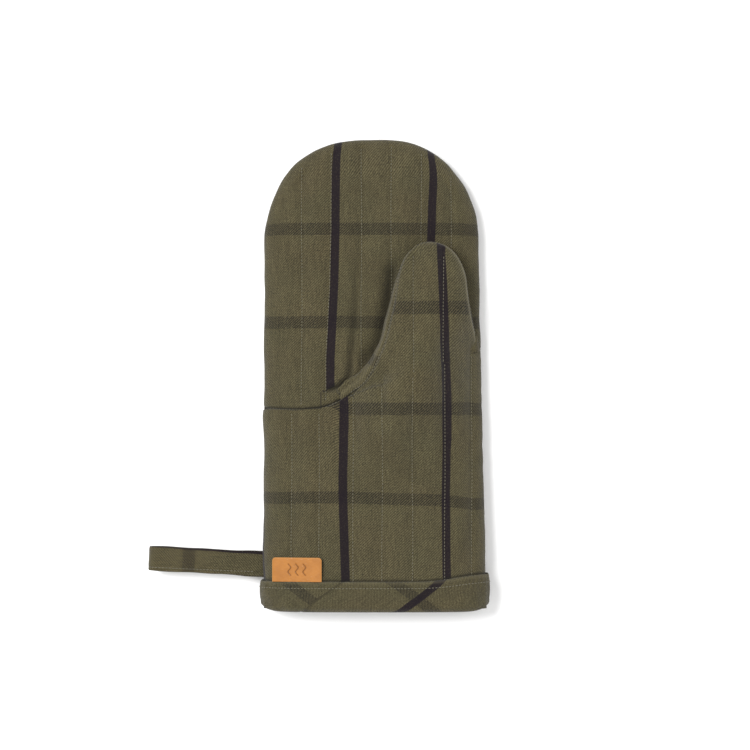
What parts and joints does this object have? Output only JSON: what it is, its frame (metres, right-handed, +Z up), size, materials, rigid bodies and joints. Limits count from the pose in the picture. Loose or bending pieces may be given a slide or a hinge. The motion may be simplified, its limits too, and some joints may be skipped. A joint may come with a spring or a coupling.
{
  "type": "oven mitt",
  "caption": "Quilted fabric oven mitt lying on its back, thumb folded over the palm, with a bound open cuff, a strap loop to hang it by and a small leather tab.",
  "frame": {"origin": "on the table under the middle of the mitt's length and width, where its back lies flat", "axes": "+Y from the cuff to the fingertips, +X to the thumb's side, +Z up through the folded thumb"},
  "size_m": [0.2422, 0.33, 0.0544],
  "materials": {
    "outer_fabric": "olive cotton twill with dark stripes, matt",
    "trim_fabric": "the same olive twill, cut on the bias for the binding and straight for the loop",
    "cotton_batting": "needled cotton wadding, hidden",
    "cotton_lining": "plain cotton lining, matt",
    "sewing_thread": "spun polyester thread, slight sheen",
    "leather": "tan vegetable-tanned leather, satin"
  },
  "bodies": {
    "root": {"back_outer": "outer_fabric", "back_batting": "cotton_batting", "back_lining": "cotton_lining", "palm_outer": "outer_fabric", "palm_batting": "cotton_batting", "palm_lining": "cotton_lining", "wrist_outer": "outer_fabric", "wrist_batting": "cotton_batting", "wrist_lining": "cotton_lining", "cuff_binding": "trim_fabric", "back_quilting_1": "sewing_thread", "back_quilting_2": "sewing_thread", "back_quilting_3": "sewing_thread", "back_quilting_4": "sewing_thread", "back_quilting_5": "sewing_thread", "back_quilting_6": "sewing_thread", "palm_quilting_1": "sewing_thread", "palm_quilting_2": "sewing_thread", "palm_quilting_3": "sewing_thread", "palm_quilting_4": "sewing_thread", "palm_quilting_5": "sewing_thread", "palm_quilting_6": "sewing_thread", "wrist_quilting_1": "sewing_thread", "wrist_quilting_2": "sewing_thread", "wrist_quilting_3": "sewing_thread", "wrist_quilting_4": "sewing_thread", "wrist_quilting_5": "sewing_thread", "wrist_quilting_6": "sewing_thread", "outline_seam_thread": "sewing_thread", "palm_seam_thread": "sewing_thread", "binding_topstitch": "sewing_thread"},
    "thumb": {"thumb_top_outer": "outer_fabric", "thumb_top_batting": "cotton_batting", "thumb_top_lining": "cotton_lining", "thumb_under_outer": "outer_fabric", "thumb_under_batting": "cotton_batting", "thumb_under_lining": "cotton_lining", "thumb_top_quilting_1": "sewing_thread", "thumb_top_quilting_2": "sewing_thread", "thumb_under_quilting_1": "sewing_thread", "thumb_under_quilting_2": "sewing_thread", "thumb_seam_thread": "sewing_thread"},
    "loop": {"hanging_loop": "trim_fabric", "loop_edge_thread": "sewing_thread"},
    "label": {"label": "leather"}
  },
  "joints": [
    {"name": "thumb_lift", "type": "hinge", "parent": "root", "child": "thumb", "pos_m": [0.02615, 0.0017, 0.05452], "axis": [0.9517, 0.3069, 0], "range_deg": [0, 80]},
    {"name": "loop_swing", "type": "hinge", "parent": "root", "child": "loop", "pos_m": [-0.08038, -0.132, 0.01794], "axis": [0.0523, 0.9986, 0], "range_deg": [-8, 80]},
    {"name": "label_flip", "type": "hinge", "parent": "root", "child": "label", "pos_m": [-0.05444, -0.1452, 0.04122], "axis": [0.9801, 0, 0.1987], "range_deg": [0, 90]}
  ]
}
